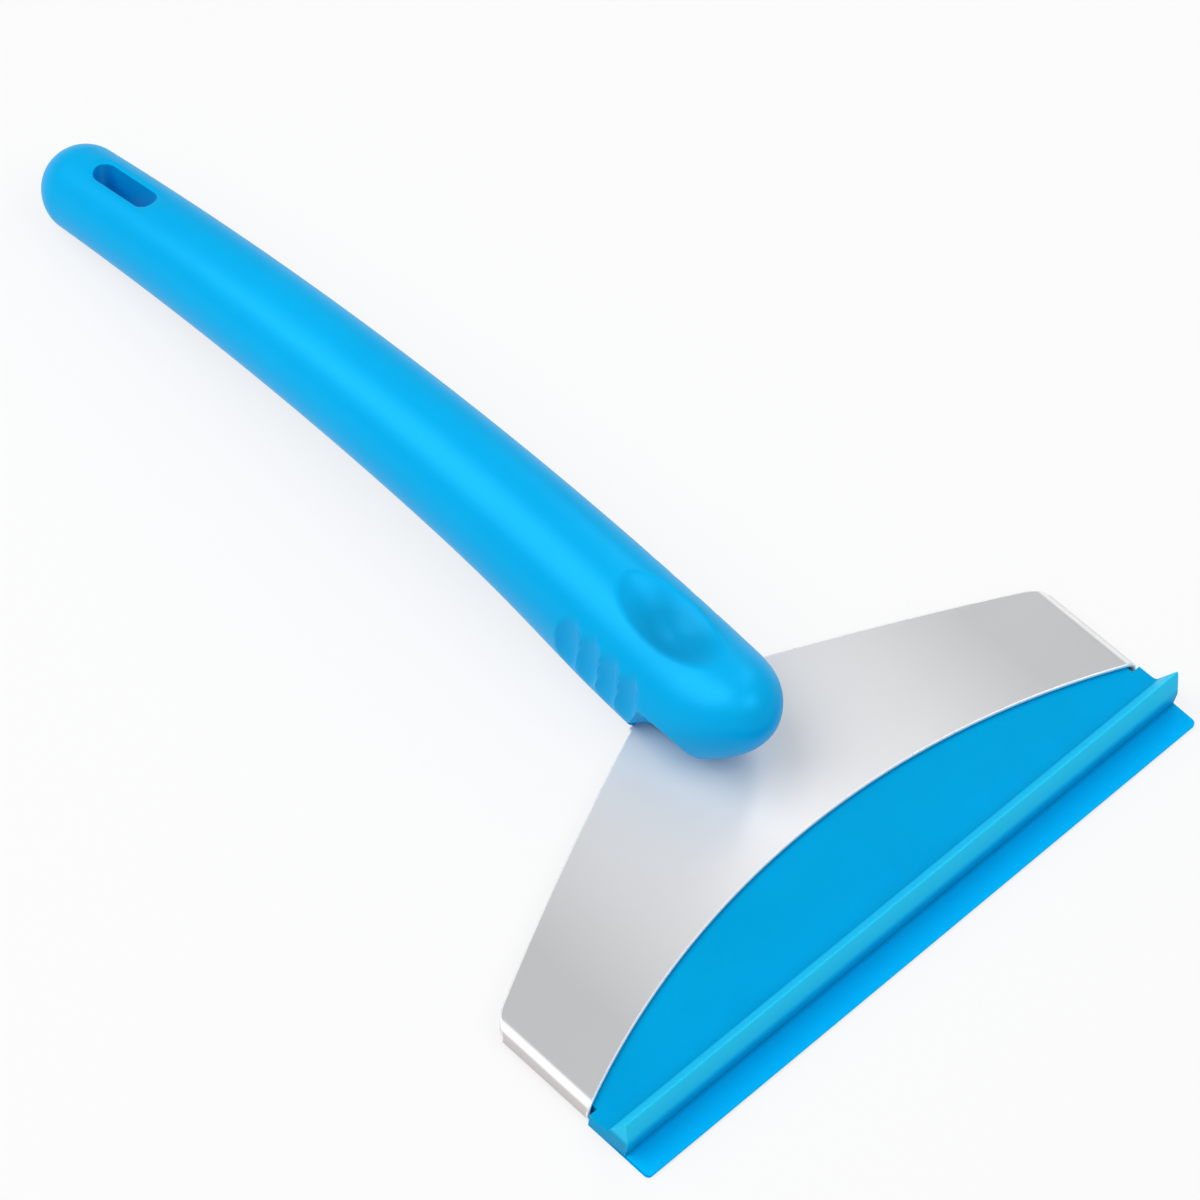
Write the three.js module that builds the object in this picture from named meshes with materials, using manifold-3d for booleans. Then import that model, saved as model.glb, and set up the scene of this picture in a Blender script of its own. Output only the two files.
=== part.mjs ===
// Ice scraper: an arched moulded handle on a folded steel head that holds a soft scraping blade.
// Millimetres, +Z up. +X runs across the blade and +Y from the scraping lip to the handle's tail.
// It is drawn from a datum just behind the lip's edge, then moved to the middle of its length.
import * as THREE from 'three';
import { mergeVertices } from 'three/addons/utils/BufferGeometryUtils.js';
import Module from 'manifold-3d';

// Gap left between pieces that touch or are cut by each other
const GAP = 0.3;

// Facets along each kind of curve
const FACETS = { outline: 24, fold: 14, slot: 10, lip: 5, bore: 20, arch: 10 };

// Steel head: one sheet, its sides folded round under it into channels
const HEAD_WIDTH = 150;
const SHEET = 0.9;
const HEAD_DEPTH = 4.4;
const FOLD_RADIUS = HEAD_DEPTH / 2;
const HEM_WIDTH = 14;
const FRONT_CORNER_Y = 15;
const ARC_APEX_Y = 31.2;
const SHOULDER_Y = 39.8;
const SHOULDER_RADIUS = 8;
const SLOPE_BOW = 0.8;
const NECK_HALF_WIDTH = 9.7;
const TANG_HALF_WIDTH = 4.2;
const TANG_END_Y = 81.5;
const TANG_CORNER = 2;

// Soft blade: lip, upright fin, flat panel and the tongue that slides into the channels
const LIP_EDGE_Y = -0.8;
const LIP_ROOT_Y = 5.2;
const LIP_EDGE = 0.8;
const LIP_ROOT = 1.3;
const FIN_FOOT_Y = 5.4;
const FIN_FOOT_Z = 4.6;
const FIN_TIP_Y = 6.3;
const FIN_TIP_Z = 10.9;
const FIN_TIP_ROUND = 0.3;
const FIN_BACK_Y = 10.4;
const FIN_FILLET = 1.2;
const CHANNEL_CLEARANCE = 0.2;
const PANEL_TOP = HEAD_DEPTH - SHEET - CHANNEL_CLEARANCE;
const TONGUE_UNDERSIDE = SHEET + CHANNEL_CLEARANCE;
const TONGUE_HALF_WIDTH = 73;
const TONGUE_END_Y = 37;

// Handle: a round section swept along an arched spine, deeper below where it takes the tang
const SPINE_START = new THREE.Vector2(65, 15.7);
const SPINE_RISE = new THREE.Vector2(121.7, 22.9);
const SPINE_FALL = new THREE.Vector2(178.5, 19.8);
const SPINE_END = new THREE.Vector2(235.6, 8.9);
const HEAD_RADIUS = 12.9;
const TAIL_RADIUS = 9.1;
const NOSE_DIP = new THREE.Vector2(58.1, 14.8);
const NOSE_LIFT = new THREE.Vector2(51.2, 20.6);
const NOSE_TIP = new THREE.Vector2(44.3, 20.6);
const BELLY = { base: 0.97, swell: 0.3, at: 0.09, spread: 0.13 };
const LOWER_EXPONENT = 2.2;
const SECTION_POINTS = 36;
const BODY_STATIONS = 34;
const CAP_STATIONS = 7;
const CAP_LAST_ANGLE = 87;

// Where the handle meets the steel: its lower half stops at the step, and the nose lies over the sheet.
// The nose's flanks lean in to a narrower foot and run out to the full width just ahead of the step
const STEP_Y = 69.7;
const NECK_Y = STEP_Y - GAP;
const FOOT_HALF_WIDTH = 5.8;
const FLANK_LEAN = 0.566;
const FLANK_TOP_Z = 17;
const FLANK_STEPS = 9;
const FLARE = { startY: 66.3, out: 3.6, lowZ: 5.2, highZ: 8.5, rings: 6 };

// Grip details
const RECESS = { y: 69.8, halfWidth: 8.4, halfLength: 12.2, depth: 4.1, rise: 4, power: 1.4 };
const RECESS_REACH = 1.3;
const RECESS_RINGS = 12;
const RECESS_SIDES = 40;
const SCALLOP = { count: 4, firstY: 69.4, pitch: 5.35, depth: 1.5 };
const SCOOP = new THREE.Vector3(1.9, 2.8, 12);
const SCOOP_SIDES = 20;
const SCOOP_RINGS = 16;
const SLOT = { y: 224, length: 16.6, width: 5.2 };

// Hollow of the handle and the cover that closes it from below
const COVER_RANGE = [0.14, 0.82];
const COVER_THICKNESS = 3;
const COVER_WIDTH_RATIO = 0.62;
const LEDGE = 1.2;
const WALL = 2.8;
const COVER_STATIONS = 18;

// Screws, all driven from below
const SCREW_SHANK = 1.25;
const SCREW_HEAD = 2.9;
const SCREW_CROWN = 2;
const SCREW_HEAD_HEIGHT = 1.5;
const SCREW_LENGTH = 11;
const SCREW_HOLE = SCREW_SHANK + GAP;
const HEAD_HOLE = SCREW_HEAD + GAP;
const BOSS_RADIUS = 3.6;
const TANG_SCREWS = { tang_screw_front: 57.5, tang_screw_rear: 76 };
const COVER_SCREWS = { cover_screw_front: 97, cover_screw_rear: 197 };
const COVER_SEAT = 1.2;

const wasm = await Module();
wasm.setup();

// Closed geometry to solid and back
function solid(geometry) {
  const bare = geometry.clone();
  bare.deleteAttribute('normal');
  bare.deleteAttribute('uv');
  const merged = mergeVertices(bare, 1e-4);
  return new wasm.Manifold(new wasm.Mesh({
    numProp: 3,
    vertProperties: new Float32Array(merged.attributes.position.array),
    triVerts: new Uint32Array(merged.index.array),
  }));
}

function geometryOf(body) {
  const { vertProperties, triVerts } = body.getMesh();
  const geometry = new THREE.BufferGeometry();
  geometry.setAttribute('position', new THREE.BufferAttribute(vertProperties, 3));
  geometry.setIndex(new THREE.BufferAttribute(triVerts, 1));
  geometry.computeVertexNormals();
  return geometry;
}

// Skin stretched over rings of equal point count, with flat ends
function loft(rings) {
  const sides = rings[0].length;
  const index = [];
  for (let ring = 0; ring < rings.length - 1; ring += 1) {
    for (let side = 0; side < sides; side += 1) {
      const a = ring * sides + side;
      const b = ring * sides + (side + 1) % sides;
      index.push(a, b, a + sides, b, b + sides, a + sides);
    }
  }
  const last = (rings.length - 1) * sides;
  for (let side = 1; side < sides - 1; side += 1) {
    index.push(0, side + 1, side, last, last + side, last + side + 1);
  }
  const geometry = new THREE.BufferGeometry().setFromPoints(rings.flat());
  geometry.setIndex(index);
  return solid(geometry);
}

// Flat outline in plan, standing between two heights
function plate(shape, bottom, top, curveSegments = FACETS.outline) {
  return solid(bar(shape, bottom, top, curveSegments));
}

// Profile in X-Z or Y-Z carried along the third axis
function bar(shape, start, end, curveSegments) {
  return new THREE.ExtrudeGeometry(shape, { depth: end - start, bevelEnabled: false, curveSegments })
    .translate(0, 0, start);
}

// Round pin or hole on the centre line
function upright(radius, y, bottom, top) {
  const geometry = new THREE.CylinderGeometry(radius, radius, top - bottom, FACETS.bore);
  return solid(geometry.rotateX(Math.PI / 2).translate(0, y, (top + bottom) / 2));
}

// Handle's spine, with the section's frame at each point of it
const spine = new THREE.CubicBezierCurve(SPINE_START, SPINE_RISE, SPINE_FALL, SPINE_END);
const noseSpine = new THREE.CubicBezierCurve(SPINE_START, NOSE_DIP, NOSE_LIFT, NOSE_TIP);

function station(t, shrink = 1) {
  const along = spine.getTangent(t);
  const radius = THREE.MathUtils.lerp(HEAD_RADIUS, TAIL_RADIUS, t) * shrink;
  const bulge = BELLY.swell * Math.exp(-(((t - BELLY.at) / BELLY.spread) ** 2));
  return {
    centre: spine.getPoint(t),
    along,
    up: new THREE.Vector2(-along.y, along.x),
    halfWidth: radius,
    rise: radius,
    drop: radius * (BELLY.base + bulge),
  };
}

// The nose lifts and rounds off ahead of the spine's start
function noseStation(reach) {
  const place = station(0, Math.sqrt(1 - reach ** 2));
  place.centre = noseSpine.getPoint(reach);
  place.up.lerp(new THREE.Vector2(0, 1), reach);
  return place;
}

// The tail closes as a ball
function tailStation(reach) {
  const place = station(1, Math.sqrt(1 - reach ** 2));
  place.centre.addScaledVector(place.along, TAIL_RADIUS * reach);
  return place;
}

function atStation({ centre, up }, across, height) {
  return new THREE.Vector3(across, centre.x + up.x * height, centre.y + up.y * height);
}

function handleRing(place) {
  const ring = [];
  for (let point = 0; point < SECTION_POINTS; point += 1) {
    const angle = 2 * Math.PI * point / SECTION_POINTS;
    const power = angle > Math.PI ? 2 / LOWER_EXPONENT : 1;
    const cosine = Math.cos(angle);
    const across = place.halfWidth * Math.sign(cosine) * Math.abs(cosine) ** power;
    const height = Math.abs(Math.sin(angle)) ** power;
    ring.push(atStation(place, across, angle > Math.PI ? -place.drop * height : place.rise * height));
  }
  return ring.reverse();
}

// Round nose, arched body and round tail in one skin
function handleSkin() {
  const capReach = (step) => Math.sin(THREE.MathUtils.degToRad(CAP_LAST_ANGLE * step / CAP_STATIONS));
  const places = [];
  for (let step = CAP_STATIONS; step > 0; step -= 1) {
    places.push(noseStation(capReach(step)));
  }
  for (let step = 0; step <= BODY_STATIONS; step += 1) {
    places.push(station(step / BODY_STATIONS));
  }
  for (let step = 1; step <= CAP_STATIONS; step += 1) {
    places.push(tailStation(capReach(step)));
  }
  return loft(places.map(handleRing));
}

// Spine parameter at a given distance from the lip: the spine's points are evenly spaced along Y
const spineAt = (y) => (y - SPINE_START.x) / (SPINE_END.x - SPINE_START.x);
const underside = (y) => {
  const place = station(spineAt(y));
  return place.centre.y - place.drop;
};

// Space that the cover takes out of the handle's underside, or the cover itself when narrowed by the gap
function coverSpace(narrowing, depthBelow) {
  const [first, last] = COVER_RANGE;
  const ends = narrowing / (SPINE_END.x - SPINE_START.x);
  const rings = [];
  for (let step = 0; step <= COVER_STATIONS; step += 1) {
    const place = station(THREE.MathUtils.lerp(first + ends, last - ends, step / COVER_STATIONS));
    const half = place.halfWidth * COVER_WIDTH_RATIO - narrowing;
    const top = -place.drop + COVER_THICKNESS - narrowing;
    const bottom = -place.drop - depthBelow;
    rings.push([[-half, bottom], [-half, top], [half, top], [half, bottom]]
      .map(([across, height]) => atStation(place, across, height)));
  }
  return loft(rings);
}

// Hollow above the cover, arched inside like the handle
function hollow() {
  const [first, last] = COVER_RANGE;
  const inset = LEDGE / (SPINE_END.x - SPINE_START.x);
  const rings = [];
  for (let step = 0; step <= COVER_STATIONS; step += 1) {
    const place = station(THREE.MathUtils.lerp(first + inset, last - inset, step / COVER_STATIONS));
    const half = place.halfWidth * COVER_WIDTH_RATIO - LEDGE;
    const floor = -place.drop + COVER_THICKNESS - LEDGE;
    const ring = [atStation(place, -half, floor), atStation(place, half, floor)];
    for (let point = 0; point <= FACETS.arch; point += 1) {
      const angle = Math.PI * point / FACETS.arch;
      ring.push(atStation(place, half * Math.cos(angle), (place.rise - WALL) * Math.sin(angle)));
    }
    rings.push(ring.reverse());
  }
  return loft(rings);
}

// Thumb recess on the top of the handle, just behind the nose: a turned bowl, stretched along the handle
function thumbRecess() {
  const { centre, rise } = station(spineAt(RECESS.y));
  const profile = [];
  for (let step = 0; step <= RECESS_RINGS; step += 1) {
    const reach = RECESS_REACH * step / RECESS_RINGS;
    profile.push(new THREE.Vector2(reach, RECESS.rise * reach ** RECESS.power - RECESS.depth));
  }
  profile.push(new THREE.Vector2(0, HEAD_RADIUS));
  const bowl = new THREE.LatheGeometry(profile, RECESS_SIDES).rotateX(Math.PI / 2);
  bowl.scale(RECESS.halfWidth, RECESS.halfLength, 1);
  return solid(bowl.translate(0, RECESS.y, centre.y + rise));
}

// Finger scallops on one flank
function scallops(side) {
  const scoops = [];
  for (let number = 0; number < SCALLOP.count; number += 1) {
    const y = SCALLOP.firstY + SCALLOP.pitch * number;
    const { halfWidth, centre } = station(spineAt(y));
    const x = side * (halfWidth + SCOOP.x - SCALLOP.depth);
    const scoop = new THREE.SphereGeometry(1, SCOOP_SIDES, SCOOP_RINGS);
    scoops.push(solid(scoop.scale(SCOOP.x, SCOOP.y, SCOOP.z).translate(x, y, centre.y)));
  }
  return scoops;
}

// Hanging slot through the tail
function hangingSlot() {
  const radius = SLOT.width / 2;
  const straight = SLOT.length / 2 - radius;
  const shape = new THREE.Shape();
  shape.absarc(0, SLOT.y + straight, radius, 0, Math.PI, false);
  shape.absarc(0, SLOT.y - straight, radius, Math.PI, 2 * Math.PI, false);
  return plate(shape, -HEAD_DEPTH, HEAD_WIDTH, FACETS.slot);
}

// Room for the steel under the nose and for the tang inside the handle
function steelRoom() {
  const top = HEAD_DEPTH + GAP;
  const under = new THREE.Shape();
  under.moveTo(-HEAD_WIDTH / 2, 0);
  under.lineTo(HEAD_WIDTH / 2, 0);
  under.lineTo(HEAD_WIDTH / 2, STEP_Y);
  under.lineTo(-HEAD_WIDTH / 2, STEP_Y);
  const tang = new THREE.Shape();
  tang.moveTo(-TANG_HALF_WIDTH - GAP, 0);
  tang.lineTo(TANG_HALF_WIDTH + GAP, 0);
  tang.lineTo(TANG_HALF_WIDTH + GAP, TANG_END_Y + GAP);
  tang.lineTo(-TANG_HALF_WIDTH - GAP, TANG_END_Y + GAP);
  return [plate(under, -HEAD_DEPTH, top), plate(tang, HEAD_DEPTH - SHEET - GAP, top)];
}

// Half width that the nose keeps at a height above the steel
function noseHalfWidth(y, z) {
  const { smoothstep } = THREE.MathUtils;
  const flare = smoothstep(y, FLARE.startY, STEP_Y) * smoothstep(z, FLARE.lowZ, FLARE.highZ);
  return FOOT_HALF_WIDTH + FLANK_LEAN * (z - HEAD_DEPTH) + FLARE.out * flare;
}

// Lower flank cut back in front of the step, so that the nose narrows towards the steel
function noseUndercut(side) {
  const outside = side * 2 * HEAD_RADIUS;
  const ring = (y) => {
    const flank = [];
    for (let step = 0; step <= FLANK_STEPS; step += 1) {
      const z = THREE.MathUtils.lerp(HEAD_DEPTH, FLANK_TOP_Z, step / FLANK_STEPS);
      flank.push(new THREE.Vector3(side * noseHalfWidth(y, z), y, z));
    }
    flank.push(new THREE.Vector3(outside, y, FLANK_TOP_Z));
    return [new THREE.Vector3(outside, y, 0), ...(side > 0 ? flank : flank.reverse())];
  };
  const rings = [ring(0)];
  for (let step = 0; step <= FLARE.rings; step += 1) {
    rings.push(ring(THREE.MathUtils.lerp(FLARE.startY, STEP_Y, step / FLARE.rings)));
  }
  return loft(rings);
}

function handleShell(skin) {
  let shell = skin.subtract(hollow());
  Object.values(COVER_SCREWS).forEach((y) => {
    const place = station(spineAt(y));
    const bossTop = place.centre.y + place.rise - WALL / 2;
    shell = shell.add(upright(BOSS_RADIUS, y, underside(y) + COVER_SEAT, bossTop));
  });
  const cuts = [
    coverSpace(0, COVER_THICKNESS),
    thumbRecess(),
    ...scallops(1),
    ...scallops(-1),
    hangingSlot(),
    ...steelRoom(),
    noseUndercut(1),
    noseUndercut(-1),
    ...Object.values(TANG_SCREWS).map((y) => upright(SCREW_HOLE, y, 0, HEAD_DEPTH + SCREW_LENGTH)),
    upright(HEAD_HOLE, TANG_SCREWS.tang_screw_rear, -GAP, HEAD_DEPTH - SHEET),
    ...Object.values(COVER_SCREWS).map((y) => upright(SCREW_HOLE, y, 0, coverSeat(y) + SCREW_LENGTH)),
  ];
  cuts.forEach((cut) => {
    shell = shell.subtract(cut);
  });
  return shell;
}

// Height at which a cover screw's head bears on the cover
const coverSeat = (y) => underside(y) + COVER_THICKNESS - COVER_SEAT;

function handleCover(skin) {
  let cover = skin.intersect(coverSpace(GAP, COVER_THICKNESS));
  Object.values(COVER_SCREWS).forEach((y) => {
    cover = cover.subtract(upright(SCREW_HOLE, y, 0, HEAD_WIDTH));
    cover = cover.subtract(upright(HEAD_HOLE, y, 0, coverSeat(y)));
  });
  return cover;
}

// Plan of the steel: straight sides, rounded shoulders, neck and tang; the front is straight or hollowed
function headOutline(frontApexY) {
  const half = HEAD_WIDTH / 2;
  const shoulder = new THREE.Vector2(half, SHOULDER_Y);
  const neck = new THREE.Vector2(NECK_HALF_WIDTH, NECK_Y);
  const slope = neck.clone().sub(shoulder).normalize();
  const turn = Math.PI / 2 - Math.asin(slope.y);
  const reach = SHOULDER_RADIUS * Math.tan(turn / 2);
  const roundEnd = shoulder.clone().addScaledVector(slope, reach);
  const bow = roundEnd.clone().lerp(neck, 0.5);
  bow.y += 2 * SLOPE_BOW;
  const cornerY = TANG_END_Y - TANG_CORNER;
  const shape = new THREE.Shape();
  shape.moveTo(half, FRONT_CORNER_Y);
  shape.lineTo(half, SHOULDER_Y - reach);
  shape.absarc(half - SHOULDER_RADIUS, SHOULDER_Y - reach, SHOULDER_RADIUS, 0, turn, false);
  shape.lineTo(roundEnd.x, roundEnd.y);
  shape.quadraticCurveTo(bow.x, bow.y, NECK_HALF_WIDTH, NECK_Y);
  shape.lineTo(TANG_HALF_WIDTH, NECK_Y);
  shape.lineTo(TANG_HALF_WIDTH, cornerY);
  shape.absarc(TANG_HALF_WIDTH - TANG_CORNER, cornerY, TANG_CORNER, 0, Math.PI / 2, false);
  shape.absarc(TANG_CORNER - TANG_HALF_WIDTH, cornerY, TANG_CORNER, Math.PI / 2, Math.PI, false);
  shape.lineTo(-TANG_HALF_WIDTH, NECK_Y);
  shape.lineTo(-NECK_HALF_WIDTH, NECK_Y);
  shape.quadraticCurveTo(-bow.x, bow.y, -roundEnd.x, roundEnd.y);
  shape.absarc(SHOULDER_RADIUS - half, SHOULDER_Y - reach, SHOULDER_RADIUS, Math.PI - turn, Math.PI, false);
  shape.lineTo(-half, FRONT_CORNER_Y);
  if (frontApexY > FRONT_CORNER_Y) {
    const sagitta = frontApexY - FRONT_CORNER_Y;
    const radius = (half ** 2 + sagitta ** 2) / (2 * sagitta);
    const spread = Math.asin(half / radius);
    shape.absarc(0, frontApexY - radius, radius, Math.PI / 2 + spread, Math.PI / 2 - spread, true);
  }
  return shape;
}

// Folded side: the sheet turns down round the edge and runs back under as a hem
function foldedSide(side) {
  const bend = HEAD_WIDTH / 2 - FOLD_RADIUS;
  const hem = HEAD_WIDTH / 2 - HEM_WIDTH;
  const lap = bend - SHEET;
  const shape = new THREE.Shape();
  shape.moveTo(hem, 0);
  shape.lineTo(bend, 0);
  shape.absarc(bend, FOLD_RADIUS, FOLD_RADIUS, -Math.PI / 2, Math.PI / 2, false);
  shape.lineTo(lap, HEAD_DEPTH);
  shape.lineTo(lap, HEAD_DEPTH - SHEET);
  shape.lineTo(bend, HEAD_DEPTH - SHEET);
  shape.absarc(bend, FOLD_RADIUS, FOLD_RADIUS - SHEET, Math.PI / 2, -Math.PI / 2, true);
  shape.lineTo(hem, SHEET);
  const length = NECK_Y - FRONT_CORNER_Y;
  const geometry = bar(shape, -length / 2, length / 2, FACETS.fold).rotateX(Math.PI / 2);
  if (side < 0) geometry.rotateZ(Math.PI);
  return solid(geometry.translate(0, FRONT_CORNER_Y + length / 2, 0));
}

function steelHead() {
  const trim = plate(headOutline(FRONT_CORNER_Y), -SHEET, HEAD_DEPTH + SHEET);
  const folds = foldedSide(1).add(foldedSide(-1)).intersect(trim);
  const inside = new THREE.Shape();
  const bend = HEAD_WIDTH / 2 - FOLD_RADIUS;
  inside.moveTo(-bend, 0);
  inside.lineTo(bend, 0);
  inside.lineTo(bend, NECK_Y + TANG_END_Y);
  inside.lineTo(-bend, NECK_Y + TANG_END_Y);
  const flat = plate(headOutline(ARC_APEX_Y), HEAD_DEPTH - SHEET, HEAD_DEPTH);
  let head = flat.intersect(plate(inside, 0, HEAD_DEPTH)).add(folds);
  Object.values(TANG_SCREWS).forEach((y) => {
    head = head.subtract(upright(SCREW_HOLE, y, 0, HEAD_DEPTH + SHEET));
  });
  return head;
}

// Lip, fin and panel front in one profile across the whole width
function bladeFront() {
  const shape = new THREE.Shape();
  const end = FRONT_CORNER_Y - GAP;
  const round = LIP_EDGE / 2;
  shape.moveTo(LIP_EDGE_Y + round, 0);
  shape.quadraticCurveTo(LIP_EDGE_Y, 0, LIP_EDGE_Y, round);
  shape.quadraticCurveTo(LIP_EDGE_Y, LIP_EDGE, LIP_EDGE_Y + round, LIP_EDGE);
  shape.lineTo(LIP_ROOT_Y, LIP_ROOT);
  shape.lineTo(FIN_FOOT_Y, FIN_FOOT_Z);
  shape.lineTo(FIN_TIP_Y - FIN_TIP_ROUND, FIN_TIP_Z - FIN_TIP_ROUND);
  shape.quadraticCurveTo(FIN_TIP_Y, FIN_TIP_Z, FIN_TIP_Y + FIN_TIP_ROUND, FIN_TIP_Z - FIN_TIP_ROUND);
  shape.lineTo(FIN_BACK_Y - FIN_FILLET / 2, PANEL_TOP + FIN_FILLET);
  shape.quadraticCurveTo(FIN_BACK_Y, PANEL_TOP, FIN_BACK_Y + FIN_FILLET, PANEL_TOP);
  shape.lineTo(end, PANEL_TOP);
  shape.lineTo(end, 0);
  const half = HEAD_WIDTH / 2;
  const geometry = bar(shape, -half, half, FACETS.lip);
  return solid(geometry.rotateX(Math.PI / 2).rotateZ(Math.PI / 2));
}

function bladeTongue(halfWidth, bottom) {
  const shape = new THREE.Shape();
  const start = FRONT_CORNER_Y - 2 * GAP;
  shape.moveTo(-halfWidth, start);
  shape.lineTo(halfWidth, start);
  shape.lineTo(halfWidth, TONGUE_END_Y);
  shape.lineTo(-halfWidth, TONGUE_END_Y);
  return plate(shape, bottom, PANEL_TOP);
}

function scraperBlade() {
  const between = HEAD_WIDTH / 2 - HEM_WIDTH - GAP;
  return bladeFront().add(bladeTongue(TONGUE_HALF_WIDTH, TONGUE_UNDERSIDE)).add(bladeTongue(between, 0));
}

// Pan-head screw standing on its head, the head's bearing face at the seat
function screw(y, seat) {
  const under = seat - GAP / 2;
  const profile = [
    [0, under - SCREW_HEAD_HEIGHT],
    [SCREW_CROWN, under - SCREW_HEAD_HEIGHT],
    [SCREW_HEAD, under - SCREW_HEAD_HEIGHT / 2],
    [SCREW_HEAD, under],
    [SCREW_SHANK, under],
    [SCREW_SHANK, seat + SCREW_LENGTH - 2 * SCREW_SHANK],
    [0, seat + SCREW_LENGTH - GAP],
  ].map(([radius, height]) => new THREE.Vector2(radius, height));
  return solid(new THREE.LatheGeometry(profile, FACETS.bore).rotateX(Math.PI / 2).translate(0, y, 0));
}

const finishes = {
  handle: { color: 0x05b2f0, roughness: 0.38, metalness: 0 },
  blade: { color: 0x02a4e2, roughness: 0.5, metalness: 0 },
  steel: { color: 0xc9c9cb, roughness: 0.3, metalness: 1 },
  screw: { color: 0x9a9da1, roughness: 0.35, metalness: 1 },
};

const scraper = new THREE.Group();

function add(name, body, finish) {
  const mesh = new THREE.Mesh(geometryOf(body), new THREE.MeshStandardMaterial(finishes[finish]));
  mesh.name = name;
  scraper.add(mesh);
}

const skin = handleSkin();
add('handle_shell', handleShell(skin), 'handle');
add('handle_cover', handleCover(skin), 'handle');
add('steel_head', steelHead(), 'steel');
add('scraper_blade', scraperBlade(), 'blade');
Object.entries(TANG_SCREWS).forEach(([name, y]) => add(name, screw(y, HEAD_DEPTH - SHEET), 'screw'));
Object.entries(COVER_SCREWS).forEach(([name, y]) => add(name, screw(y, coverSeat(y)), 'screw'));

// Origin under the middle of the part's length, on the surface that it lies on
const middle = new THREE.Box3().setFromObject(scraper).getCenter(new THREE.Vector3());
scraper.position.y = -middle.y;

export default scraper;
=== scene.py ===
import math

import bmesh
import bpy
from mathutils import Matrix, Vector


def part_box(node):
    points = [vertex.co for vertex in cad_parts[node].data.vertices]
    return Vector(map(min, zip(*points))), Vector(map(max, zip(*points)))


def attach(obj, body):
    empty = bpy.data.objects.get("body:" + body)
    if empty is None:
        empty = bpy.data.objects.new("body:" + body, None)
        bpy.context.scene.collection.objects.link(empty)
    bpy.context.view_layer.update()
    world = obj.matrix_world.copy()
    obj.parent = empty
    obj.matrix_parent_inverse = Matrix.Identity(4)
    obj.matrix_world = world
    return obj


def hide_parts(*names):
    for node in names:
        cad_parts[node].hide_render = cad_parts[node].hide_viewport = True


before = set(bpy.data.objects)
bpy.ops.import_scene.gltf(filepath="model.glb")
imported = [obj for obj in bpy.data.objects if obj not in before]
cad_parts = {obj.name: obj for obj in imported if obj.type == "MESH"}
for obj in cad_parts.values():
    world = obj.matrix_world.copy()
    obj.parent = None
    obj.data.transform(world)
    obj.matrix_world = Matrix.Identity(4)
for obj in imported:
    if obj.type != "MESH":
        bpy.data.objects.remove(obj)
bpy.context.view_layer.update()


# Steel head: one blank of 0.9 mm stainless sheet with a hollowed front edge and rounded shoulders.
# Each side is folded round through half a turn and pressed flat underneath as a hem, which makes
# the channel that the blade's tongue slides into. The neck runs into the handle.
SHEET = 0.9
HEAD_HALF = 75.0
HEAD_DEPTH = 4.4
HEM = 14.0
CORNER_Y = 15.0
ARC_APEX_Y = 31.2
SHOULDER = Vector((75.0, 39.8))
SHOULDER_RADIUS = 8.0
NECK = Vector((9.7, 69.4))
NECK_OVERRUN = 0.6
SLOPE_BOW = 0.8
CUT_EDGE_ROUND = 0.36
CUT_EDGE_SLOT = 1
# Painted reflection: the steel's face is painted lighter grey in the middle and darker grey towards both
# ends.
MIDDLE_PAINTED_REFLECTION_GREYS = [(233, 233, 234), (237, 237, 237)]
ENDS_PAINTED_REFLECTION_GREY = (186, 186, 187)
PAINTED_REFLECTION_ENDS_X = (6.0, 58.0)
# Painted highlight: the upper half of each fold is painted nearly white. The lower half is a plain grey.
FOLD_PAINTED_HIGHLIGHT = (248, 248, 248)
FOLD_GREY = (207, 203, 203)
FOLD_STARTS_X = (72.7, 73.3)
FOLD_PAINTED_HIGHLIGHT_Z = (3.6, 3.9)
# Painted highlight: the near-white colour of the sheet's cut edge.
CUT_EDGE_PAINTED_HIGHLIGHT = [(246, 246, 247), (253, 253, 253)]
LIP_EDGE_Y = -0.8
datum_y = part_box("scraper_blade")[0][1] - LIP_EDGE_Y / 1000


def place(x, y, z):
    """A point given in millimetres from the drawing's datum, in the frame's metres."""
    return Vector((x / 1000, datum_y + y / 1000, z / 1000))


def even_steps(start, end, count):
    """Evenly spaced values from start to end, both included."""
    return [start + (end - start) * step / count for step in range(count + 1)]


def front_edge(x):
    """The blank's front edge: an arc hollowed between its two corners."""
    sagitta = ARC_APEX_Y - CORNER_Y
    radius = (HEAD_HALF ** 2 + sagitta ** 2) / (2 * sagitta)
    return ARC_APEX_Y - radius + math.sqrt(radius ** 2 - x ** 2)


def rear_edge(x):
    """The blank's rear edge: a slightly bowed slope from the neck to the rounded shoulder."""
    x = abs(x)
    slope = (NECK - SHOULDER).normalized()
    reach = SHOULDER_RADIUS * math.tan((math.pi / 2 - math.asin(slope.y)) / 2)
    round_end = SHOULDER + slope * reach
    if x <= NECK.x:
        return NECK.y + NECK_OVERRUN
    if x <= round_end.x:
        share = (x - NECK.x) / (round_end.x - NECK.x)
        return NECK.y + (round_end.y - NECK.y) * share + 4 * SLOPE_BOW * share * (1 - share)
    from_centre = x - (HEAD_HALF - SHOULDER_RADIUS)
    return SHOULDER.y - reach + math.sqrt(max(SHOULDER_RADIUS ** 2 - from_centre ** 2, 0))


def sheet_columns():
    """Middle of the sheet from the centre line to the hem's end: x, z, and whether it is underneath."""
    fold = HEAD_DEPTH / 2
    bend_x = HEAD_HALF - fold
    middle = fold - SHEET / 2
    on_shoulder = [70.4, 71.2, 72.0]
    flat = set(even_steps(0, bend_x, 36) + [NECK.x] + on_shoulder)
    columns = [(x, fold + middle, False) for x in sorted(flat)]
    for angle in even_steps(0, math.pi, 14)[1:]:
        x = bend_x + middle * math.sin(angle)
        columns.append((x, fold + middle * math.cos(angle), angle > math.pi / 2))
    for x in even_steps(bend_x, HEAD_HALF - HEM, 4)[1:]:
        columns.append((x, fold - middle, True))
    return columns


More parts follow.
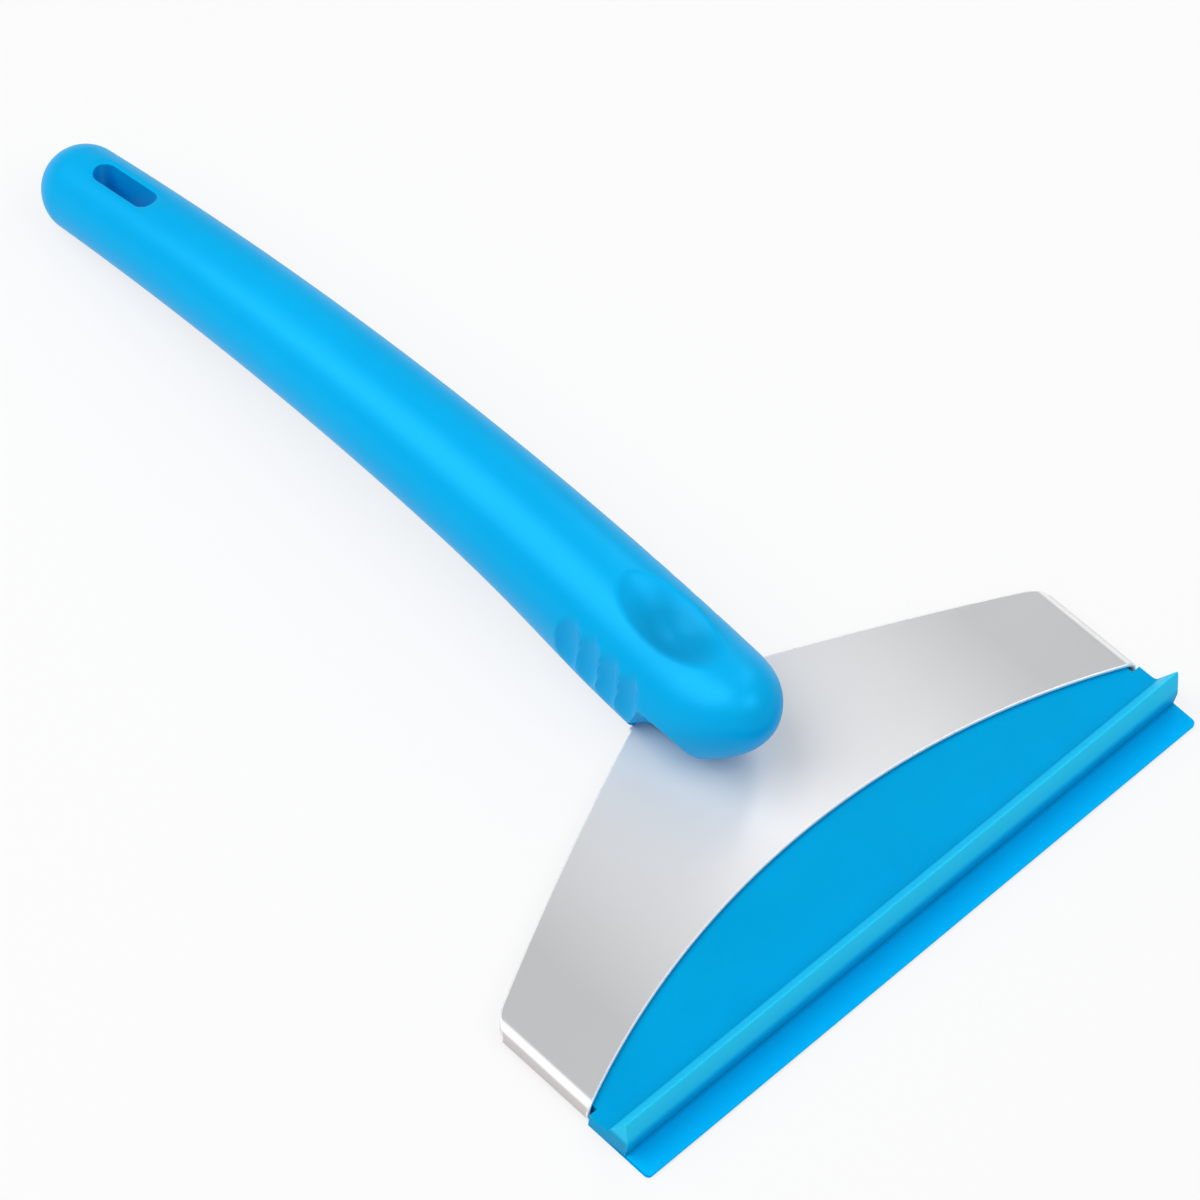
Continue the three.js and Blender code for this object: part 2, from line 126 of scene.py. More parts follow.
def new_object(name, mesh_builder):
    """A mesh object from a bmesh, with doubled points merged and all faces turned outwards."""
    mesh = bpy.data.meshes.new(name)
    bmesh.ops.remove_doubles(mesh_builder, verts=mesh_builder.verts, dist=1e-7)
    bmesh.ops.recalc_face_normals(mesh_builder, faces=mesh_builder.faces)
    mesh_builder.to_mesh(mesh)
    mesh_builder.free()
    piece = bpy.data.objects.new(name, mesh)
    bpy.context.scene.collection.objects.link(piece)
    return piece


def soften(piece, width, angle):
    """Small rounded edges wherever the surface turns by more than the angle, and smooth shading."""
    bevel = piece.modifiers.new("edges", "BEVEL")
    bevel.width = width / 1000
    bevel.segments = 3
    bevel.limit_method = "ANGLE"
    bevel.angle_limit = math.radians(angle)
    bevel.harden_normals = True
    piece.data.shade_smooth()
    return bevel


def steel_sheet():
    """The folded blank as a surface without thickness, with a flat map that gives its grain a direction."""
    rows = 10
    map_scale = 4
    right = sheet_columns()
    left = [(-x, z, underneath) for x, z, underneath in reversed(right[1:])]
    build = bmesh.new()
    lines = []
    for x, z, underneath in left + right:
        front = CORNER_Y if underneath else front_edge(x)
        lines.append([build.verts.new(place(x, y, z)) for y in even_steps(front, rear_edge(x), rows)])
    for one, two in zip(lines, lines[1:]):
        for row in range(rows):
            build.faces.new((one[row], two[row], two[row + 1], one[row + 1]))
    blank = build.loops.layers.uv.new("blank")
    for face in build.faces:
        for corner in face.loops:
            corner[blank].uv = corner.vert.co.xy * map_scale
    return new_object("steel_head_sheet", build)


def srgb(red, green, blue):
    """A colour read off as 0 to 255 values, in linear light."""
    def linear(value):
        value /= 255
        return value / 12.92 if value <= 0.04045 else ((value + 0.055) / 1.055) ** 2.4
    return (linear(red), linear(green), linear(blue), 1)


def finish(name):
    """A new material with its shader node, ready for a finish to be wired in."""
    material = bpy.data.materials.new(name)
    material.use_nodes = True
    return material, material.node_tree, material.node_tree.nodes["Principled BSDF"]


def noise(tree, scale, stretch=(1, 1, 1)):
    """Noise fixed to the object, finer or coarser along each axis."""
    where = tree.nodes.new("ShaderNodeTexCoord")
    size = tree.nodes.new("ShaderNodeMapping")
    size.inputs["Scale"].default_value = stretch
    pattern = tree.nodes.new("ShaderNodeTexNoise")
    pattern.inputs["Scale"].default_value = scale
    pattern.inputs["Detail"].default_value = 3.0
    pattern.inputs["Roughness"].default_value = 0.55
    tree.links.new(where.outputs["Object"], size.inputs["Vector"])
    tree.links.new(size.outputs["Vector"], pattern.inputs["Vector"])
    return pattern.outputs["Fac"]


def object_axes(tree):
    """How far a point of the surface lies along the object's X, Y and Z."""
    where = tree.nodes.new("ShaderNodeTexCoord")
    axes = tree.nodes.new("ShaderNodeSeparateXYZ")
    tree.links.new(where.outputs["Object"], axes.inputs["Vector"])
    return axes.outputs


def spread(tree, value, low, high, least=0.3, most=0.7):
    """A value's range from least to most, stretched between low and high. The defaults fit noise."""
    fit = tree.nodes.new("ShaderNodeMapRange")
    fit.inputs["From Min"].default_value = least
    fit.inputs["From Max"].default_value = most
    fit.inputs["To Min"].default_value = low
    fit.inputs["To Max"].default_value = high
    tree.links.new(value, fit.inputs["Value"])
    return fit.outputs["Result"]


def tint(tree, value, one, two):
    """A colour that runs from one to two with a value. Each of them is a plain colour or another tint."""
    mix = tree.nodes.new("ShaderNodeMix")
    mix.data_type = "RGBA"
    for end, colour in (("A", one), ("B", two)):
        if isinstance(colour, bpy.types.NodeSocket):
            tree.links.new(colour, mix.inputs[end])
        else:
            mix.inputs[end].default_value = colour
    tree.links.new(value, mix.inputs["Factor"])
    return mix.outputs["Result"]


def mottled(tree, pattern, colours):
    """Two close shades of one colour, in the clouds of a noise pattern."""
    return tint(tree, spread(tree, pattern, 0, 1), srgb(*colours[0]), srgb(*colours[1]))


def grain(tree, shader, value, strength, depth):
    """Fine relief from a pattern, its depth in millimetres."""
    bump = tree.nodes.new("ShaderNodeBump")
    bump.inputs["Strength"].default_value = strength
    bump.inputs["Distance"].default_value = depth / 1000
    tree.links.new(value, bump.inputs["Height"])
    tree.links.new(bump.outputs["Normal"], shader.inputs["Normal"])


def satin_steel():
    """Satin sheet with a fine rolled grain across the head. Its face carries a painted reflection: lighter
    in the middle, darker towards the ends.
    The upper half of each fold carries a painted highlight, nearly white, and its lower half stays grey."""
    material, tree, shader = finish("satin_steel")
    rolling = noise(tree, scale=2400, stretch=(0.012, 1, 1))
    cloud = noise(tree, scale=30)
    axes = object_axes(tree)
    from_middle = tree.nodes.new("ShaderNodeMath")
    from_middle.operation = "ABSOLUTE"
    tree.links.new(axes["X"], from_middle.inputs[0])
    outwards = from_middle.outputs["Value"]
    painted_reflection_fade = spread(tree, outwards, 0, 1, *(x / 1000 for x in PAINTED_REFLECTION_ENDS_X))
    on_fold = spread(tree, outwards, 0, 1, *(x / 1000 for x in FOLD_STARTS_X))
    painted_highlight_on_fold = spread(tree, axes["Z"], 0, 1, *(z / 1000 for z in FOLD_PAINTED_HIGHLIGHT_Z))
    # Painted reflection across the face: the lighter middle greys fade to the darker end grey.
    face_tone = tint(tree, painted_reflection_fade, mottled(tree, cloud, MIDDLE_PAINTED_REFLECTION_GREYS), srgb(*ENDS_PAINTED_REFLECTION_GREY))
    # Painted highlight on the upper half of each fold.
    fold_tone = tint(tree, painted_highlight_on_fold, srgb(*FOLD_GREY), srgb(*FOLD_PAINTED_HIGHLIGHT))
    tree.links.new(tint(tree, on_fold, face_tone, fold_tone), shader.inputs["Base Color"])
    tree.links.new(spread(tree, rolling, 0.38, 0.46), shader.inputs["Roughness"])
    grain(tree, shader, rolling, strength=0.04, depth=0.02)
    across = tree.nodes.new("ShaderNodeTangent")
    across.direction_type = "UV_MAP"
    across.uv_map = "blank"
    tree.links.new(across.outputs["Tangent"], shader.inputs["Tangent"])
    shader.inputs["Anisotropic"].default_value = 0.7
    shader.inputs["Metallic"].default_value = 0.2
    return material


def cut_edge_painted_highlight():
    """The blank's sheared and deburred edge, smoother than the faces of the sheet, in a near-white that
    paints a highlight along the edge.
    """
    material, tree, shader = finish("cut_edge_with_painted_highlight")
    shear = noise(tree, scale=900)
    tree.links.new(mottled(tree, shear, CUT_EDGE_PAINTED_HIGHLIGHT), shader.inputs["Base Color"])
    tree.links.new(spread(tree, shear, 0.26, 0.34), shader.inputs["Roughness"])
    shader.inputs["Metallic"].default_value = 0.3
    return material


steel_head = steel_sheet()
thick = steel_head.modifiers.new("sheet", "SOLIDIFY")
thick.thickness = SHEET / 1000
thick.offset = 0
thick.use_even_offset = True
thick.material_offset_rim = CUT_EDGE_SLOT
cut_edges = soften(steel_head, CUT_EDGE_ROUND, angle=50)
cut_edges.material = CUT_EDGE_SLOT
steel_head.data.materials.append(satin_steel())
# The cut edge's material paints a near-white highlight along the edge.
steel_head.data.materials.append(cut_edge_painted_highlight())
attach(steel_head, "root")
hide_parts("steel_head")


# Blade: one moulding of flexible blue elastomer. A thin lip wipes, the upright fin behind it breaks ice,
# and a flat panel runs back under the steel. Its tongue fills the two channels and the space between
# the hems, so that it slides in from the front and is held by the folds.
PANEL_TOP = 3.3
TONGUE_UNDERSIDE = 1.1
TONGUE_HALF = 73.0
TONGUE_END_Y = 37.0
TONGUE_OVERLAP = 0.3
HEM_CLEARANCE = 0.3
BLADE_BACK_Y = 14.7
BLADE_EDGE_ROUND = 0.2
LIP_ROOT = (5.35, 0.95)
LIP_THICK = 0.8
LIP_CORNER = 1.2
FIN_FOOT = (5.0, 4.5)
FIN_TIP = (6.3, 10.2)
FIN_TIP_ROUND = {"front": 0.28, "back": 0.32, "height": 0.35}
FIN_BACK = (9.8, 4.5)
FIN_FILLET = (10.3, PANEL_TOP)
FIN_FILLET_END = (11.6, PANEL_TOP)
PANEL_BLUE = [(0, 160, 215), (1, 165, 221)]
# Painted glow: the fin is painted paler from its foot up to its tip, for light shining through it.
FIN_PAINTED_GLOW_BLUE = (40, 207, 255)
FIN_PAINTED_GLOW_Z = (4.3, 5.7)
# Painted light: the lip is painted paler to lift it out of the fin's shadow.
LIP_PAINTED_LIGHT_BLUE = (0, 184, 252)
LIP_PAINTED_LIGHT_Y = (4.55, 5.35)


def corner_cut(y):
    """How far the blade's ends draw in where the lip's corners are rounded."""
    inside = min(max((y - LIP_EDGE_Y) / LIP_CORNER, 0), 1)
    return LIP_CORNER * (1 - math.sqrt(1 - (1 - inside) ** 2))


def bar_across(name, outline, half):
    """An outline of (y, z) points carried across the head, closed at both ends."""
    build = bmesh.new()
    left = [build.verts.new(place(corner_cut(y) - half, y, z)) for y, z in outline]
    right = [build.verts.new(place(half - corner_cut(y), y, z)) for y, z in outline]
    build.faces.new(left)
    build.faces.new(right[::-1])
    for index in range(len(outline)):
        after = (index + 1) % len(outline)
        build.faces.new((left[after], left[index], right[index], right[after]))
    return new_object(name, build)


def curve_points(start, control, end, steps):
    """Points along a quadratic curve, without its start."""
    points = []
    for step in range(1, steps + 1):
        t = step / steps
        points.append(tuple(a * (1 - t) ** 2 + 2 * b * t * (1 - t) + c * t ** 2
                            for a, b, c in zip(start, control, end)))
    return points


def lip_edge():
    """The lip's rounded front edge, from its underside over to its top."""
    inwards = even_steps(LIP_EDGE_Y, LIP_EDGE_Y + LIP_CORNER, 5)[2:]
    under = [(y, 0) for y in reversed(inwards)]
    top = [(y, LIP_THICK) for y in inwards]
    foremost = (LIP_EDGE_Y, LIP_THICK / 2)
    lower = curve_points(under[-1], (LIP_EDGE_Y, 0), foremost, 4)
    upper = curve_points(foremost, (LIP_EDGE_Y, LIP_THICK), top[0], 4)
    return under + lower + upper + top[1:]


def fin_outline():
    """The fin from its foot in front, over its rounded tip, to the fillet that runs out on the panel."""
    y, z = FIN_TIP
    height = FIN_TIP_ROUND["height"]
    tip_front = (y - FIN_TIP_ROUND["front"], z - height)
    tip_back = (y + FIN_TIP_ROUND["back"], z - height)
    tip = [tip_front, *curve_points(tip_front, (y, z + height), tip_back, 6)]
    return [FIN_FOOT, *tip, FIN_BACK, *curve_points(FIN_BACK, FIN_FILLET, FIN_FILLET_END, 6)]


def split_wide_faces(mesh):
    """Cut faces with more than four corners into triangles, so that none folds over itself beside a cut."""
    build = bmesh.new()
    build.from_mesh(mesh)
    bmesh.ops.triangulate(build, faces=[face for face in build.faces if len(face.verts) > 4])
    build.to_mesh(mesh)
    build.free()


def join(piece, other, way):
    """Shape one piece by another, which is then thrown away."""
    shape = piece.modifiers.new("shape", "BOOLEAN")
    shape.object = other
    shape.operation = way
    shape.solver = "EXACT"
    shaped = piece.evaluated_get(bpy.context.evaluated_depsgraph_get())
    mesh = bpy.data.meshes.new_from_object(shaped)
    split_wide_faces(mesh)
    piece.modifiers.remove(shape)
    piece.data = mesh
    bpy.data.objects.remove(other)


def soft_blade():
    """Lip, fin and panel in one bar, with the two widths of the tongue joined on behind."""
    panel_back = [(BLADE_BACK_Y, PANEL_TOP), (BLADE_BACK_Y, 0)]
    blade = bar_across("blade_moulding", lip_edge() + [LIP_ROOT] + fin_outline() + panel_back, HEAD_HALF)
    start = BLADE_BACK_Y - TONGUE_OVERLAP
    for half, bottom in ((TONGUE_HALF, TONGUE_UNDERSIDE), (HEAD_HALF - HEM - HEM_CLEARANCE, 0)):
        tongue = [(start, bottom), (start, PANEL_TOP), (TONGUE_END_Y, PANEL_TOP), (TONGUE_END_Y, bottom)]
        join(blade, bar_across("tongue", tongue, half), "UNION")
    return blade


def soft_blue():
    """Matt elastomer with painted light: the upper fin is painted paler as a glow of light through the thin
    rubber, and the lip is painted paler to lift it out of the fin's shadow.
    """
    material, tree, shader = finish("soft_blue_elastomer")
    cloud = noise(tree, scale=45)
    fine = noise(tree, scale=1600)
    axes = object_axes(tree)
    painted_glow_on_fin = spread(tree, axes["Z"], 0, 1, *(z / 1000 for z in FIN_PAINTED_GLOW_Z))
    painted_light_on_lip = spread(tree, axes["Y"], 1, 0, *(place(0, y, 0).y for y in LIP_PAINTED_LIGHT_Y))
    # Painted glow up the fin.
    panel_and_painted_glow_tone = tint(tree, painted_glow_on_fin, mottled(tree, cloud, PANEL_BLUE), srgb(*FIN_PAINTED_GLOW_BLUE))
    # Painted light along the lip.
    tree.links.new(tint(tree, painted_light_on_lip, panel_and_painted_glow_tone, srgb(*LIP_PAINTED_LIGHT_BLUE)), shader.inputs["Base Color"])
    tree.links.new(spread(tree, fine, 0.42, 0.52), shader.inputs["Roughness"])
    grain(tree, shader, fine, strength=0.08, depth=0.02)
    shader.inputs["Specular IOR Level"].default_value = 0.06
    shader.inputs["Specular Tint"].default_value = (0.12, 0.75, 1, 1)
    shader.inputs["Subsurface Weight"].default_value = 0.2
    shader.inputs["Subsurface Radius"].default_value = (0.3, 1.0, 0.45)
    shader.inputs["Subsurface Scale"].default_value = 0.002
    return material


blade = soft_blade()
soften(blade, BLADE_EDGE_ROUND, angle=40)
blade.data.materials.clear()
blade.data.materials.append(soft_blue())
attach(blade, "root")
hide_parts("scraper_blade")


# Handle: an arched, hollow polypropylene moulding, nearly round in section and tapering to the tail.
# Its nose lies over the steel, with a bowl for the thumb on top and four finger scallops on each flank.
# The tail has a slot to hang it by, and the underside is open for the cover.
SPINE = [(65, 15.7), (121.7, 22.9), (178.5, 19.8), (235.57, 8.9)]
NOSE = [(65, 15.7), (58.1, 14.8), (51.2, 20.6), (44.3, 20.6)]
HEAD_RADIUS = 12.9
TAIL_RADIUS = 9.1
LOWER_POWER = 2.2
BELLY = {"plain": 0.97, "swell": 0.3, "middle": 0.09, "spread": 0.13}
GRIP_END = 0.17
CAP_END = 89.2
STEP_Y = 69.7
STEEL_GAP = 0.3
FOOT_HALF = 5.8
FLANK_LEAN = 0.566
FLANK_TOP_Z = 17.0
FLARE = {"start_y": 66.3, "out": 3.6, "low_z": 5.2, "high_z": 8.5}
CHIN = {"start_y": 64.5, "end_y": 51.5, "high_z": 13.0}
BOWL = {"y": 69.8, "half_width": 8.4, "half_length": 12.2, "depth": 4.2, "rise": 4.1, "power": 1.65,
        "rim": 0.5, "widest": 1.2, "lowest_z": 15}
SCALLOP_Y = [69.4, 74.75, 80.1, 85.45]
SCALLOP_DEPTH = 1.7
SCOOP = {"deep": 2.1, "front": 2.0, "back": 3.7, "tall": 12.0, "off": 0.75, "sharp": 0.15, "soft": 1.3,
         "inmost": 5}
HOLLOWS_Y = (44, 92)
HANG_SLOT = {"y": 224.0, "length": 16.6, "width": 5.2, "dip": 0.5, "dip_width": 1.3}
TAIL_Y = 210
COVER_SPAN = (0.14, 0.82)
COVER_THICK = 3.0
COVER_RATIO = 0.62
TANG_SCREW_Y = (57.5, 76.0)
TANG_SEAT_Z = 3.5
HEAD_HOLE = 6.4
BELOW_Z = -2
HANDLE_BLUE = [(0, 176, 239), (1, 181, 244)]
# Painted shade: the thumb bowl's darker blue, strongest at its middle.
BOWL_PAINTED_SHADE_BLUE = (0, 157, 212)
BOWL_PAINTED_SHADE_FADES = (0.5, 1.0)


def along(curve, t):
    """Point and direction on a cubic curve of (y, z) control points."""
    point = [0, 0]
    heading = [0, 0]
    for axis in (0, 1):
        a, b, c, d = (control[axis] for control in curve)
        point[axis] = a * (1 - t) ** 3 + 3 * b * t * (1 - t) ** 2 + 3 * c * t * t * (1 - t) + d * t ** 3
        heading[axis] = 3 * (b - a) * (1 - t) ** 2 + 6 * (c - b) * t * (1 - t) + 3 * (d - c) * t * t
    return Vector(point), Vector(heading).normalized()


def station(t, shrink=1.0):
    """Section of the handle at a place on its spine: centre, upward direction, radius and depth below."""
    centre, heading = along(SPINE, t)
    radius = (HEAD_RADIUS + (TAIL_RADIUS - HEAD_RADIUS) * t) * shrink
    belly = BELLY["plain"] + BELLY["swell"] * math.exp(-((t - BELLY["middle"]) / BELLY["spread"]) ** 2)
    return {"centre": centre, "heading": heading, "up": Vector((-heading.y, heading.x)),
            "radius": radius, "drop": radius * belly}


def nose_station(reach):
    """Section of the rounded nose, from the spine's start (0) to its tip (1)."""
    section = station(0, math.sqrt(1 - reach ** 2))
    section["centre"] = along(NOSE, reach)[0]
    section["up"] = section["up"].lerp(Vector((0, 1)), reach)
    return section


def tail_station(reach):
    """Section of the rounded tail, from the spine's end (0) to its tip (1)."""
    section = station(1, math.sqrt(1 - reach ** 2))
    section["centre"] = section["centre"] + section["heading"] * TAIL_RADIUS * reach
    return section


def handle_sections():
    """Every section from the nose to the tail, closest together along the grip's hollows."""
    caps = [math.sin(math.radians(angle)) for angle in even_steps(0, CAP_END, 44)[1:]]
    front = [nose_station(reach) for reach in reversed(caps)]
    grip = [station(t) for t in even_steps(0, GRIP_END, 72)[:-1]]
    shaft = [station(t) for t in even_steps(GRIP_END, 1, 130)]
    return front + grip + shaft + [tail_station(reach) for reach in caps]


def on_section(section, x, height):
    """A point of a section, given across it and upwards from its centre."""
    y, z = section["centre"] + section["up"] * height
    return place(x, y, z)


def blend_down(height, limit, softness):
    """The lower of two heights, with a rounded crossing."""
    gap = max(softness - abs(height - limit), 0) / softness
    return min(height, limit) - gap * gap * softness / 4


def spine_at(y):
    """Place on the spine that belongs to a distance from the datum."""
    return (y - SPINE[0][0]) / (SPINE[3][0] - SPINE[0][0])


def bowl_bottom():
    """Height of the lowest point of the thumb's bowl."""
    seat = station(spine_at(BOWL["y"]))
    return seat["centre"].y + seat["radius"] - BOWL["depth"]


def thumb_bowl(x, y, z):
    """Height of the surface once the thumb's bowl is pressed into it."""
    from_middle = math.hypot(x / BOWL["half_width"], (y - BOWL["y"]) / BOWL["half_length"])
    if from_middle >= BOWL["widest"] or z < BOWL["lowest_z"]:
        return z
    return blend_down(z, bowl_bottom() + BOWL["rise"] * from_middle ** BOWL["power"], BOWL["rim"])


def finger_scallops(x, y, z):
    """Distance of the flank from the middle once the finger scallops are scooped out of it."""
    for middle in SCALLOP_Y:
        seat = station(spine_at(middle))
        past = y - middle + SCOOP["off"]
        long, rim = (SCOOP["front"], SCOOP["sharp"]) if past < 0 else (SCOOP["back"], SCOOP["soft"])
        share = 1 - (past / long) ** 2 - ((z - seat["centre"].y) / SCOOP["tall"]) ** 2
        if share > 0 and abs(x) > SCOOP["inmost"]:
            wall = seat["radius"] + SCOOP["deep"] - SCALLOP_DEPTH - SCOOP["deep"] * math.sqrt(share)
            x = math.copysign(blend_down(abs(x), wall, rim), x)
    return x


def slot_lead_in(x, y):
    """How far the surface dips towards the hanging slot's rim."""
    straight = HANG_SLOT["length"] / 2 - HANG_SLOT["width"] / 2
    beyond = max(abs(y - HANG_SLOT["y"]) - straight, 0)
    from_rim = math.hypot(x, beyond) - HANG_SLOT["width"] / 2
    return HANG_SLOT["dip"] * max(1 - max(from_rim, 0) / HANG_SLOT["dip_width"], 0) ** 2


def handle_point(section, angle):
    """A point of the handle's skin at an angle round a section, with the hollows pressed in."""
    power = 2 / LOWER_POWER if angle > math.pi else 1
    cosine, sine = math.cos(angle), math.sin(angle)
    x = section["radius"] * math.copysign(abs(cosine) ** power, cosine)
    height = section["radius"] * sine if angle <= math.pi else -section["drop"] * abs(sine) ** power
    y, z = section["centre"] + section["up"] * height
    if HOLLOWS_Y[0] < y < HOLLOWS_Y[1]:
        x = finger_scallops(x, y, z)
        z = thumb_bowl(x, y, z) if height > 0 else z
    if y > TAIL_Y:
        z += math.copysign(slot_lead_in(x, y), -height)
    return place(x, y, z)


def skin_over(build, rings):
    """A closed skin over rings of points, with flat ends."""
    lines = [[build.verts.new(point) for point in ring] for ring in rings]
    for one, two in zip(lines, lines[1:]):
        for index in range(len(one)):
            after = (index + 1) % len(one)
            build.faces.new((one[index], one[after], two[after], two[index]))
    build.faces.new(lines[0][::-1])
    build.faces.new(lines[-1])


def ease(value, low, high):
    """Smooth step from 0 to 1 between two values."""
    share = min(max((value - low) / (high - low), 0), 1)
    return share * share * (3 - 2 * share)


def nose_flank(y, z):
    """Half width of the nose over the steel: it leans in to a round chin and flares out at the step."""
    flare = ease(y, FLARE["start_y"], STEP_Y) * ease(z, FLARE["low_z"], FLARE["high_z"])
    reach = min(max((CHIN["start_y"] - y) / (CHIN["start_y"] - CHIN["end_y"]), 0), 1)
    tuck = FOOT_HALF * (1 - math.sqrt(1 - reach ** 2)) * (1 - ease(z, HEAD_DEPTH, CHIN["high_z"]))
    return FOOT_HALF + FLANK_LEAN * (z - HEAD_DEPTH) + FLARE["out"] * flare - tuck


def nose_clearance(build):
    """All that the nose leaves free in front of the step: the steel's space and the leaning flanks."""
    outside = 2 * HEAD_RADIUS
    below = [(outside, FLANK_TOP_Z), (outside, -HEAD_DEPTH),
             (-outside, -HEAD_DEPTH), (-outside, FLANK_TOP_Z)]
    heights = even_steps(HEAD_DEPTH + STEEL_GAP, FLANK_TOP_Z, 24)
    chin = even_steps(CHIN["end_y"], CHIN["start_y"], 20)
    flare = even_steps(FLARE["start_y"], STEP_Y, 16)
    rings = []
    for y in [CORNER_Y] + chin + flare:
        flank = [(nose_flank(y, z), z) for z in heights]
        outline = [(-x, z) for x, z in reversed(flank)] + flank + below
        rings.append([place(x, y, z) for x, z in outline])
    skin_over(build, rings)


def upright_slot(build, y, length, width, bottom, top):
    """A round-ended slot, or a round hole where length and width are the same."""
    steps = 16
    straight = (length - width) / 2
    ring = []
    for step in range(2 * steps):
        angle = math.pi * (step + 0.5) / steps
        offset = math.copysign(straight, math.sin(angle))
        ring.append((width / 2 * math.cos(angle), y + offset + width / 2 * math.sin(angle)))
    skin_over(build, [[place(x, along_y, z) for x, along_y in ring] for z in (bottom, top)])


def cover_space(build, below):
    """The opening in the underside that the cover fits into."""
    rings = []
    for t in even_steps(*COVER_SPAN, 60):
        section = station(t)
        half = section["radius"] * COVER_RATIO
        corners = ((-half, -below), (-half, COVER_THICK), (half, COVER_THICK), (half, -below))
        rings.append([on_section(section, x, height - section["drop"]) for x, height in corners])
    skin_over(build, rings)


def handle_moulding():
    """The lofted handle with the nose, the hanging slot, the opening and one screw hole cut into it."""
    turns = 168
    angles = [2 * math.pi * (turn + 0.5) / turns for turn in range(turns)]
    build = bmesh.new()
    skin_over(build, [[handle_point(section, angle) for angle in angles] for section in handle_sections()])
    handle = new_object("handle_moulding", build)
    cuts = bmesh.new()
    nose_clearance(cuts)
    upright_slot(cuts, HANG_SLOT["y"], HANG_SLOT["length"], HANG_SLOT["width"], bottom=-6, top=40)
    cover_space(cuts, below=4)
    upright_slot(cuts, TANG_SCREW_Y[1], HEAD_HOLE, HEAD_HOLE, BELOW_Z, TANG_SEAT_Z)
    join(handle, new_object("handle_cuts", cuts), "DIFFERENCE")
    return handle


def crisp_edges(piece, angle):
    """Smooth shading, except along edges where the surface turns by more than the angle."""
    build = bmesh.new()
    build.from_mesh(piece.data)
    for face in build.faces:
        face.smooth = True
    for edge in build.edges:
        edge.smooth = len(edge.link_faces) == 2 and edge.calc_face_angle() < math.radians(angle)
    build.to_mesh(piece.data)
    build.free()


def moulded_blue(name, colours, rough, relief):
    """Satin polypropylene with faint clouds in its colour and a fine moulded grain."""
    material, tree, shader = finish(name)
    cloud = noise(tree, scale=28)
    fine = noise(tree, scale=1300)
    tree.links.new(mottled(tree, cloud, colours), shader.inputs["Base Color"])
    tree.links.new(spread(tree, fine, rough - 0.04, rough + 0.05), shader.inputs["Roughness"])
    grain(tree, shader, fine, relief, depth=0.03)
    shader.inputs["Metallic"].default_value = 0.12
    shader.inputs["Specular IOR Level"].default_value = 0.08
    return material


def paint_bowl_shade(material):
    """Painted shade in the thumb bowl: its colour is painted darker towards its middle, where the recess
    falls into shade.
    """
    tree = material.node_tree
    shader = tree.nodes["Principled BSDF"]
    bottom = place(0, BOWL["y"], bowl_bottom())
    reach = Vector((BOWL["half_width"], BOWL["half_length"], BOWL["half_width"])) / 1000
    spot = tree.nodes.new("ShaderNodeTexCoord").outputs["Object"]
    for operation, amount in (("SUBTRACT", bottom), ("DIVIDE", reach)):
        moved = tree.nodes.new("ShaderNodeVectorMath")
        moved.operation = operation
        moved.inputs[1].default_value = amount
        tree.links.new(spot, moved.inputs[0])
        spot = moved.outputs["Vector"]
    distance = tree.nodes.new("ShaderNodeVectorMath")
    distance.operation = "LENGTH"
    tree.links.new(spot, distance.inputs[0])
    in_bowl = spread(tree, distance.outputs["Value"], 1, 0, *BOWL_PAINTED_SHADE_FADES)
    unshaded_tone = shader.inputs["Base Color"].links[0].from_socket
    tree.links.new(tint(tree, in_bowl, unshaded_tone, srgb(*BOWL_PAINTED_SHADE_BLUE)), shader.inputs["Base Color"])


handle = handle_moulding()
crisp_edges(handle, angle=38)
handle.data.materials.clear()
handle_blue = moulded_blue("handle_blue", HANDLE_BLUE, rough=0.36, relief=0.05)
# Paints shade into the thumb bowl.
paint_bowl_shade(handle_blue)
handle.data.materials.append(handle_blue)
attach(handle, "root")
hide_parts("handle_shell")


# Handle cover: a thin moulded strip that closes the hollow handle from below and follows its arch.
# It is the same plastic with a finer, more matt texture, and two screws in counterbores hold it.
COVER_SCREW_Y = (97.0, 197.0)
COVER_GAP = 0.3
HEAD_SEAT = 1.8
COVER_BLUE = [(2, 166, 226), (3, 172, 233)]


def underside(y):
    """Height of the handle's underside above the table."""
    section = station(spine_at(y))
    return section["centre"].y - section["drop"]


def cover_strip():
    """The strip with its outside rounded like the handle, its inside flat, and both screw holes sunk in."""
    across = 24
    ends = COVER_GAP / (SPINE[3][0] - SPINE[0][0])
    rings = []
    for t in even_steps(COVER_SPAN[0] + ends, COVER_SPAN[1] - ends, 90):
        section = station(t)
        half = section["radius"] * COVER_RATIO - COVER_GAP
        outline = []
        for column in range(across + 1):
            x = half * (2 * column / across - 1)
            rounded = (1 - abs(x / section["radius"]) ** LOWER_POWER) ** (1 / LOWER_POWER)
            outline.append((x, -section["drop"] * rounded))
        top = COVER_THICK - COVER_GAP - section["drop"]
        outline += [(half, top), (-half, top)]
        rings.append([on_section(section, x, height) for x, height in outline])
    build = bmesh.new()
    skin_over(build, rings)
    cover = new_object("handle_cover_strip", build)
    holes = bmesh.new()
    for y in COVER_SCREW_Y:
        upright_slot(holes, y, HEAD_HOLE, HEAD_HOLE, BELOW_Z, underside(y) + HEAD_SEAT)
    join(cover, new_object("cover_holes", holes), "DIFFERENCE")
    return cover


cover = cover_strip()
crisp_edges(cover, angle=38)
cover.data.materials.clear()
cover.data.materials.append(moulded_blue("cover_blue", COVER_BLUE, rough=0.5, relief=0.12))
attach(cover, "root")
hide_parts("handle_cover")


